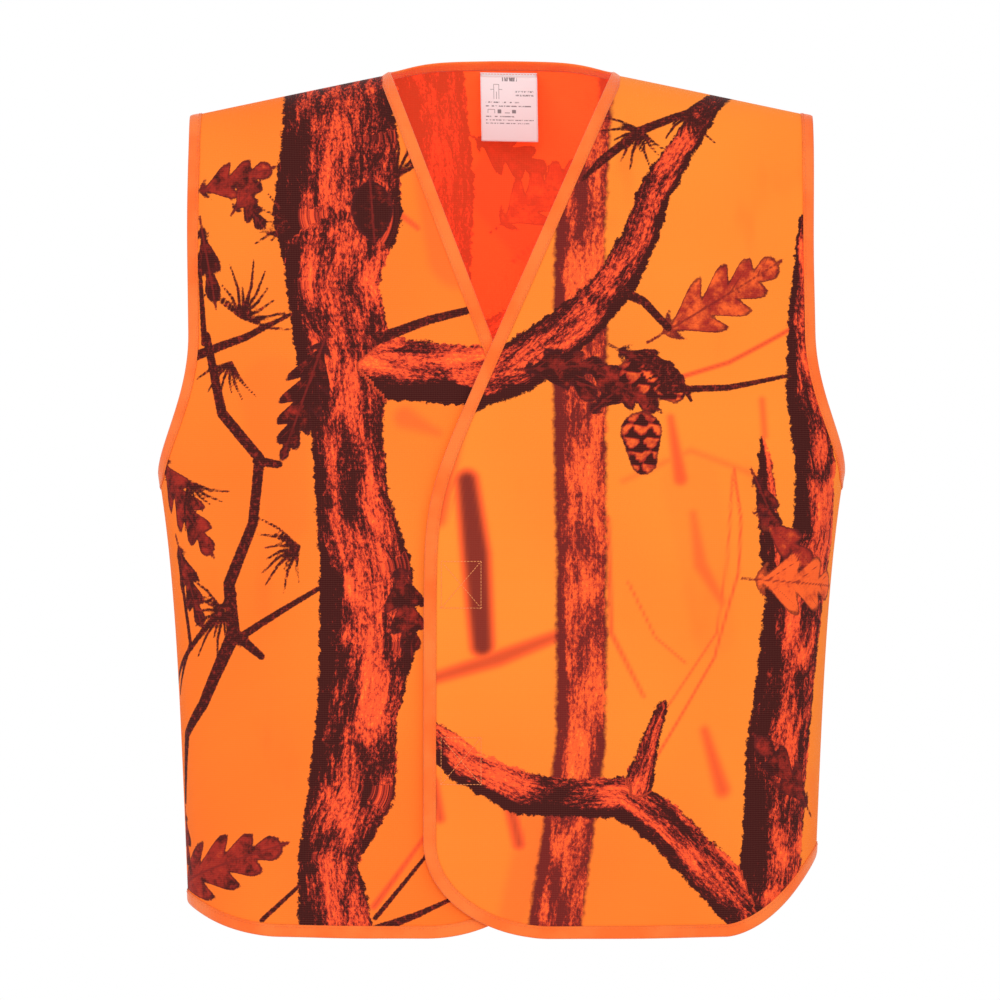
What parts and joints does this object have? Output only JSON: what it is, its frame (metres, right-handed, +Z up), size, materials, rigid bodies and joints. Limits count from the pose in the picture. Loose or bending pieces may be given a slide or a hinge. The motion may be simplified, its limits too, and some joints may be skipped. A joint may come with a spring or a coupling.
{
  "type": "hunting safety vest",
  "caption": "Sleeveless blaze-orange over-vest with a V neck, bound edges, a woodland print and an overlapping front closed by hook-and-loop patches.",
  "frame": {"origin": "midway between the two shoulder seams, 660 mm above the hem, in the plane of the side seams", "axes": "+Z up along the wearer's spine, +X to the wearer's left, -Y to the wearer's front"},
  "size_m": [0.5506, 0.2426, 0.7003],
  "materials": {
    "front_cloth": "thin woven polyester in blaze orange with a dark woodland print",
    "back_cloth": "the same printed cloth",
    "edge_tape": "plain folded binding tape, stitched along its inner edge",
    "seam_allowance": "overlocked raw edges of the cloth, inside",
    "hook_tape": "woven tape covered with stiff hooks",
    "loop_tape": "woven tape covered with soft loops",
    "label_satin": "printed white label ribbon"
  },
  "bodies": {
    "shell": {"left_front_side": "front_cloth", "right_front_side": "front_cloth", "back_panel": "back_cloth", "left_neck_binding": "edge_tape", "right_neck_binding": "edge_tape", "back_neck_binding": "edge_tape", "left_hem_binding": "edge_tape", "right_hem_binding": "edge_tape", "back_hem_binding": "edge_tape", "left_armhole_binding": "edge_tape", "right_armhole_binding": "edge_tape", "left_shoulder_seam": "seam_allowance", "right_shoulder_seam": "seam_allowance", "left_side_seam": "seam_allowance", "right_side_seam": "seam_allowance"},
    "left_flap": {"left_front_flap": "front_cloth", "left_front_edge_binding": "edge_tape", "upper_hook_patch": "hook_tape", "lower_hook_patch": "hook_tape"},
    "right_flap": {"right_front_flap": "front_cloth", "right_front_edge_binding": "edge_tape", "upper_loop_patch": "loop_tape", "lower_loop_patch": "loop_tape"},
    "label": {"care_label": "label_satin"}
  },
  "joints": [
    {"name": "left_front_opening", "type": "hinge", "parent": "shell", "child": "left_flap", "pos_m": [0.06, -0.104, -0.06], "axis": [-0.1803, 0.0066, 0.9836], "range_deg": [0, 150]},
    {"name": "right_front_opening", "type": "hinge", "parent": "shell", "child": "right_flap", "pos_m": [-0.06, -0.101, -0.06], "axis": [-0.1803, -0.0066, -0.9836], "range_deg": [0, 60]},
    {"name": "label_flip", "type": "hinge", "parent": "shell", "child": "label", "pos_m": [0.006, 0.05367, 0.02738], "axis": [-1, 0, 0], "range_deg": [-15, 105]}
  ],
  "couplings": [
    {"joint": "right_front_opening", "follows": "left_front_opening", "ratio": 0.4}
  ]
}
